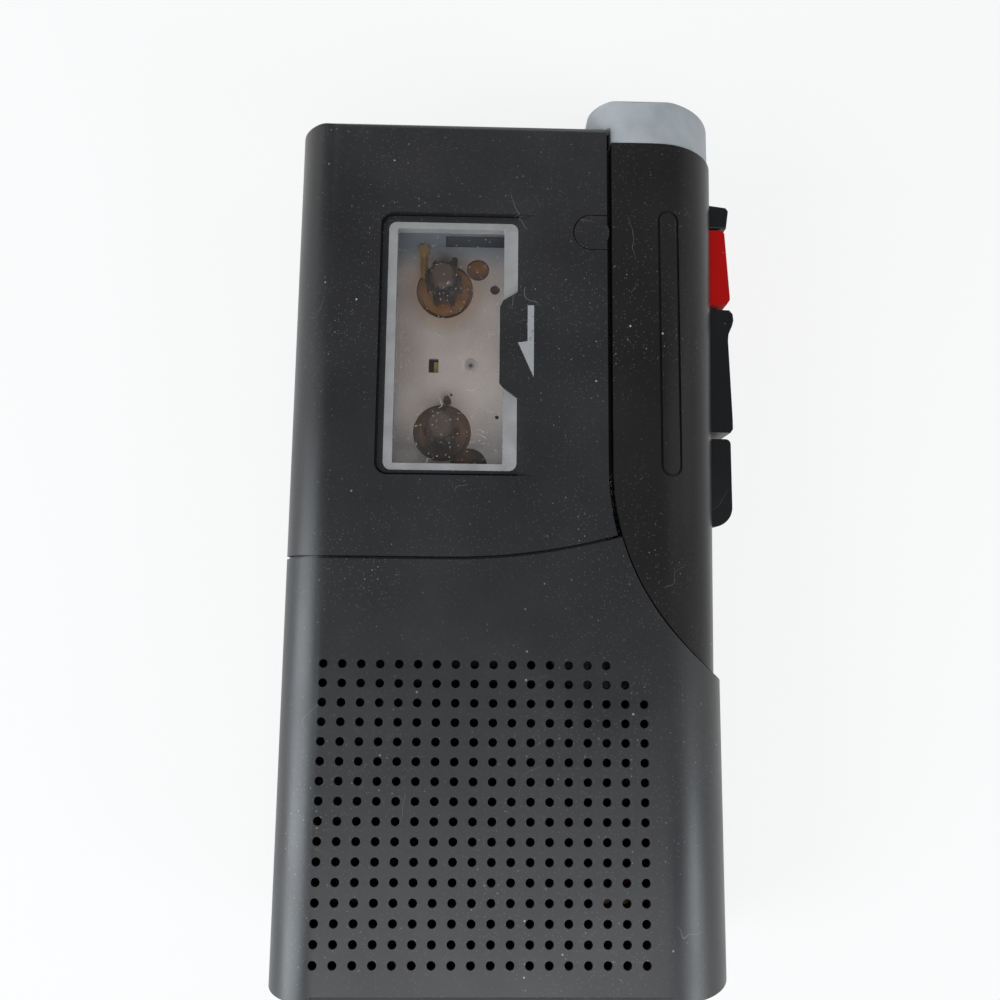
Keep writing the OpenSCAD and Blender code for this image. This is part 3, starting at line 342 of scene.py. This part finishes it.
def rivet_metal():
    """Dull plated metal; the dimple in the middle of the rivet's head is painted dark as its shade."""
    finish = Finish("rivet_metal", Metallic=0.3)
    clouds = finish.noise(scale=900)
    shade = finish.mottle(clouds, linear(196, 186, 182), linear(226, 218, 214))
    centre = middle(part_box("deck_rivet"))
    flat = finish.near(centre, inner=0.62 * MM, outer=0.72 * MM)
    shade = finish.tint(flat, shade, linear(176, 168, 166))
    # Painted shade: the dimple in the middle of the head is painted dark, besides its small sunk relief.
    dimple = finish.near(centre, inner=0.24 * MM, outer=0.36 * MM)
    finish.feed("Base Color", finish.tint(dimple, shade, linear(70, 62, 58)))
    finish.roughen(clouds, 0.3, 0.44)
    finish.bump(dimple, depth=-0.05 * MM, strength=0.6)
    return finish


def metal(name, colour, roughness, bare=1.0):
    """Metal with drawn streaks and slight tarnish; less bare where it is plated dull."""
    finish = Finish(name, Metallic=bare)
    clouds = finish.noise(scale=380, detail=4)
    finish.feed("Base Color", finish.mottle(clouds, shaded(colour, 0.72), colour))
    finish.roughen(clouds, roughness - 0.06, roughness + 0.1)
    streaks = finish.noise(scale=2500, detail=2, stretch=(1, 1, 0.08))
    finish.bump(streaks, depth=0.004 * MM, strength=0.4)
    return finish


def steel():
    """Plated steel of pins, springs, screws and contacts."""
    return metal("steel", linear(186, 186, 190), roughness=0.3, bare=0.7)


def brass():
    """Dull brass of the lever and the turned pieces."""
    return metal("brass", linear(222, 172, 88), roughness=0.3, bare=0.45)


def ferrite():
    """Dark grey magnet."""
    return metal("ferrite", linear(74, 74, 78), roughness=0.55)


def reel_plastic(which, rib_colour):
    """Amber plastic of a reel table: another brown along the ribs, worn grey on top of the spindle."""
    finish = Finish(which + "_plastic")
    clouds = finish.noise(scale=320, detail=4)
    shade = finish.mottle(clouds, linear(138, 88, 30), linear(180, 122, 50))
    low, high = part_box(which + "_reel")
    height = finish.along("Z")
    # The ribs take rib_colour; for the take-up reel it is darkened as painted shade, so that their lit tops
    # match the shaded table around them.
    ribs = finish.span(height, low[2] + 2.6 * MM, low[2] + 4.6 * MM)
    shade = finish.tint(ribs, shade, rib_colour)
    top = finish.span(height, high[2] - 1.3 * MM, high[2] - 0.7 * MM)
    finish.feed("Base Color", finish.tint(top, shade, linear(68, 54, 44)))
    finish.roughen(clouds, 0.16, 0.28)
    finish.bump(finish.noise(scale=3000, detail=2), depth=0.006 * MM, strength=0.4)
    return finish


def supply_plastic():
    """Reel table with blackish ribs."""
    return reel_plastic("supply", linear(34, 25, 20))


def takeup_plastic():
    """Reel table with brown ribs, darkened as painted shade to match the shaded table around them."""
    return reel_plastic("takeup", linear(72, 47, 22))


def rubber():
    """Dull black rubber."""
    finish = Finish("rubber")
    clouds = finish.noise(scale=420, detail=5)
    finish.feed("Base Color", finish.mottle(clouds, linear(24, 24, 25), linear(44, 43, 42)))
    finish.roughen(clouds, 0.7, 0.9)
    finish.bump(finish.noise(scale=5200), depth=0.02 * MM, strength=0.6)
    return finish


def cloth():
    """Thin black gauze with a square weave."""
    finish = Finish("cloth", Sheen_Weight=0.2)
    threads = []
    for direction in ("X", "Y"):
        wave = finish.add("TexWave", bands_direction=direction)
        wave.inputs["Scale"].default_value = 900
        wave.inputs["Distortion"].default_value = 0.6
        finish.links.new(finish.place(), wave.inputs["Vector"])
        threads.append(wave.outputs["Fac"])
    weave = finish.either(*threads)
    finish.feed("Base Color", finish.tint(weave, linear(6, 6, 6), linear(26, 26, 28)))
    finish.feed("Roughness", finish.span(weave, 0, 1, 0.95, 0.8))
    finish.bump(weave, depth=0.04 * MM, strength=0.8)
    return finish


def cone_paper():
    """Pressed dark paper of the loudspeaker cone."""
    finish = Finish("cone_paper")
    fibres = finish.noise(scale=1400, detail=6, stretch=(1, 0.35, 1), turn=20)
    finish.feed("Base Color", finish.mottle(fibres, linear(28, 27, 26), linear(58, 55, 50)))
    finish.roughen(fibres, 0.8, 0.95)
    finish.bump(fibres, depth=0.03 * MM, strength=0.7)
    return finish


def board_lacquer():
    """Green solder lacquer with copper tracks showing through."""
    finish = Finish("board_lacquer")
    tracks = finish.span(finish.borders(330, finish.place()), 0.10, 0.14)
    finish.feed("Base Color", finish.tint(tracks, linear(24, 74, 44), linear(58, 116, 62)))
    finish.roughen(finish.noise(scale=200), 0.22, 0.36)
    finish.bump(tracks, depth=0.03 * MM, strength=0.6)
    return finish


def cell_sleeve():
    """Printed metal sleeve of the cells, plain with a copper-coloured band at one end."""
    finish = Finish("cell_sleeve", Metallic=0.6)
    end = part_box("battery_cells")[1][0]
    band = finish.span(finish.along("X"), end - 11.45 * MM, end - 11.05 * MM)
    shade = finish.tint(band, linear(46, 46, 50), linear(176, 120, 62))
    scuffs = finish.noise(scale=500, detail=5)
    worn = finish.span(scuffs, 0.62, 0.72)
    finish.feed("Base Color", finish.tint(worn, shade, linear(150, 148, 144)))
    finish.roughen(scuffs, 0.25, 0.4)
    finish.bump(scuffs, depth=0.01 * MM, strength=0.3)
    return finish


def arrow_paint():
    """Silver paint, worn thin in places."""
    finish = Finish("arrow_paint", Metallic=0.3)
    wear = finish.noise(scale=900, detail=5)
    worn = finish.span(wear, 0.58, 0.74)
    finish.feed("Base Color", finish.tint(worn, linear(162, 162, 163), linear(112, 112, 112)))
    finish.roughen(wear, 0.35, 0.5)
    finish.bump(wear, depth=0.004 * MM, strength=0.4)
    return finish


# Pieces by the material they get.
DRESS = {
    case_plastic: ["rear_case", "front_case", "cassette_door", "door_pad", "battery_cover"],
    panel_plastic: ["side_panel"],
    key_plastic: ["pause_slider", "wind_rocker", "play_key"],
    red_plastic: ["record_key"],
    cap_plastic: ["mic_cap"],
    frame_plastic: ["window_frame"],
    window_plastic: ["window_pane"],
    deck_metal: ["deck_plate", "head_plate"],
    rivet_metal: ["deck_rivet"],
    steel: ["cassette_holder", "hinge_pin", "key_springs", "rocker_pin", "deck_screws", "reel_pins",
            "capstan", "idler_pin", "motor_can", "record_head", "erase_head", "pinch_arm", "speaker_frame",
            "mic_capsule", "cell_link", "cell_plus", "cell_minus", "case_screws"],
    brass: ["brass_lever", "capstan_bearing", "motor_pulley", "flywheel"],
    ferrite: ["speaker_magnet"],
    supply_plastic: ["supply_reel"],
    takeup_plastic: ["takeup_reel"],
    rubber: ["mic_boot", "idler_wheel", "drive_belt", "pinch_roller"],
    inner_plastic: ["key_rail", "locating_pin", "board_parts", "volume_dial", "volume_control", "ear_socket",
                    "mic_socket"],
    cloth: ["grille_cloth"],
    cone_paper: ["speaker_cone"],
    board_lacquer: ["circuit_board"],
    cell_sleeve: ["battery_cells"],
}

# Pieces with rounded edges, by the width of the rounding in millimetres.
SOFT_EDGES = {
    0.1: ["door_pad", "battery_cover"],
    0.12: ["cassette_door", "side_panel", "rear_case", "mic_cap"],
    0.25: ["pause_slider", "play_key"],
    0.3: ["window_frame"],
    0.5: ["record_key"],
}


def dress_pieces():
    """Gives every piece of the construction its material."""
    for make, names in DRESS.items():
        material = make().material
        for name in names:
            mesh = pieces[name].data
            mesh.materials.clear()
            mesh.materials.append(material)


def soften(piece, width):
    """Rounds the sharp edges of a piece by a small width."""
    weld = piece.modifiers.new("weld", "WELD")
    weld.merge_threshold = 0.002 * MM
    bevel = piece.modifiers.new("soft_edges", "BEVEL")
    bevel.width = width
    bevel.segments = 2
    bevel.limit_method = "ANGLE"
    bevel.angle_limit = math.radians(35)
    bevel.miter_outer = "MITER_ARC"
    normals = piece.modifiers.new("even_normals", "WEIGHTED_NORMAL")
    normals.weight = 100


def soften_edges():
    """Rounds the edges of all the pieces that need it."""
    for width, names in SOFT_EDGES.items():
        for name in names:
            soften(pieces[name], width * MM)


def add_object(name, data):
    """New object in the scene around a mesh, lamp or camera."""
    thing = bpy.data.objects.new(name, data)
    bpy.context.scene.collection.objects.link(thing)
    return thing


def add_mesh(name, points, faces):
    """New object in the scene from points and faces."""
    mesh = bpy.data.meshes.new(name)
    mesh.from_pydata(points, [], faces)
    mesh.update()
    return add_object(name, mesh)


def plate(name, outline, low, high):
    """Flat mesh over an outline, from one height to another, in metres."""
    count = len(outline)
    points = [(x, y, height) for height in (low, high) for x, y in outline]
    ends = [tuple(reversed(range(count))), tuple(range(count, 2 * count))]
    sides = [(i, (i + 1) % count, count + (i + 1) % count, count + i) for i in range(count)]
    return add_mesh(name, points, ends + sides)


def paint_arrow():
    """Paint that fills the sunk arrow on the door's tab."""
    window_low, window_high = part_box("window_frame")
    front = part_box("cassette_door")[1][2]
    start_x = window_high[0] - 0.7 * MM
    start_y = (window_low[1] + window_high[1]) / 2 - 0.05 * MM
    # The arrow has a straight back, a shaft beside it and one barb, in millimetres from the start.
    back_x = 2.28
    shaft_x = 1.38
    barb_x = 0.04
    top_y = 5.72
    shaft_y = 0.47
    barb_y = 0.30
    tip_y = -4.72
    outline = [(back_x, top_y), (shaft_x, top_y), (shaft_x, shaft_y), (barb_x, barb_y), (back_x, tip_y)]
    spots = [(start_x + x * MM, start_y + y * MM) for x, y in outline]
    arrow = plate("arrow_paint", spots, low=front - 0.115 * MM, high=front - 0.02 * MM)
    arrow.data.materials.append(arrow_paint().material)
    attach(arrow, "door")


def sweep(name, flat, bend, rim, sides=96, steps=12):
    """Round floor, flat to a radius, that curves up with a bend radius to a rim height; in metres."""
    turns = [math.pi / 2 * step / steps for step in range(steps + 1)]
    profile = [(flat + bend * math.sin(turn), bend - bend * math.cos(turn)) for turn in turns]
    profile.append((flat + bend, rim))
    points = [(0, 0, 0)]
    for radius, height in profile:
        for side in range(sides):
            heading = 2 * math.pi * side / sides
            points.append((radius * math.cos(heading), radius * math.sin(heading), height))
    faces = [(0, 1 + side, 1 + (side + 1) % sides) for side in range(sides)]
    for ring in range(len(profile) - 1):
        inner = 1 + ring * sides
        for side in range(sides):
            after = (side + 1) % sides
            faces.append((inner + side, inner + sides + side, inner + sides + after, inner + after))
    floor = add_mesh(name, points, faces)
    floor.data.shade_smooth()
    return floor


def backdrop():
    """Pale studio floor under the recorder that keeps its shadow and rises far behind it."""
    clearance = 0.3 * MM
    grey = 0.7
    # Where the floor is seen, directly or mirrored, this much of it is plain white and the rest is lit.
    white_share = 0.82
    floor = sweep("floor", flat=2.4, bend=0.5, rim=1.3)
    floor.location = (0, 0, -clearance)
    finish = Finish("floor", Base_Color=(grey, grey, grey, 1), Roughness=0.8)
    glow = finish.add("Emission")
    glow.inputs["Strength"].default_value = 1.0
    path = finish.add("LightPath")
    seen = finish.either(path.outputs["Is Camera Ray"], path.outputs["Is Glossy Ray"],
                         path.outputs["Is Transmission Ray"])
    mix = finish.add("MixShader")
    finish.links.new(finish.fade(seen, white_share), mix.inputs["Fac"])
    finish.links.new(finish.shader.outputs["BSDF"], mix.inputs[1])
    finish.links.new(glow.outputs["Emission"], mix.inputs[2])
    finish.links.new(mix.outputs["Shader"], finish.nodes["Material Output"].inputs["Surface"])
    floor.data.materials.append(finish.material)


def lamp(name, place, aim, size, power, colour):
    """Oblong soft light of a colour at a place, turned to face a point; in metres and watts."""
    light = bpy.data.lights.new(name, "AREA")
    light.color = colour
    light.shape = "RECTANGLE"
    light.size = size[0]
    light.size_y = size[1]
    light.energy = power
    towards = [a - p for a, p in zip(aim, place)]
    length = math.sqrt(sum(t * t for t in towards))
    heading = math.atan2(towards[1], towards[0]) - math.pi / 2
    body = add_object(name, light)
    body.location = place
    body.rotation_euler = (math.acos(-towards[2] / length), 0, heading)


def light_up():
    """Dim room with bluish window light from both sides and plainer light from near and far."""
    world = bpy.data.worlds.new("room")
    world.use_nodes = True
    walls = world.node_tree.nodes["Background"]
    walls.inputs["Color"].default_value = (0.92, 0.97, 1.0, 1)
    walls.inputs["Strength"].default_value = 0.15
    bpy.context.scene.world = world
    window = (0.88, 0.95, 1.0)
    room = (0.97, 0.98, 1.0)
    centre = (0, 0, 0.02)
    grille = (0, -0.02, 0.02)
    keys = (0.02, 0, 0.02)
    lamp("left", (-0.41, -0.13, 0.22), grille, size=(0.36, 0.34), power=2.6, colour=window)
    lamp("right", (0.39, -0.27, 0.25), grille, size=(0.22, 0.14), power=1.2, colour=window)
    lamp("near", (0.0, -0.38, 0.56), centre, size=(0.50, 0.30), power=1.75, colour=room)
    lamp("far", (0.0, 0.46, 0.26), centre, size=(0.40, 0.16), power=0.5, colour=room)
    lamp("high", (0.34, 0.08, 0.28), keys, size=(0.16, 0.30), power=0.18, colour=window)


def set_camera():
    """Camera close above the recorder, looking down past its middle."""
    camera = bpy.data.cameras.new("camera")
    camera.lens = 28.8
    camera.sensor_width = 36
    camera.clip_start = 0.005
    body = add_object("camera", camera)
    # Place and turn are fitted to the rows of grille holes in the picture.
    body.location = (-0.00334, -0.00890, 0.13202)
    body.rotation_euler = (0.12508, -0.0227, 0.01045)
    bpy.context.scene.camera = body


dress_pieces()
soften_edges()
paint_arrow()
backdrop()
light_up()
set_camera()
bpy.context.scene.view_settings.view_transform = "Standard"
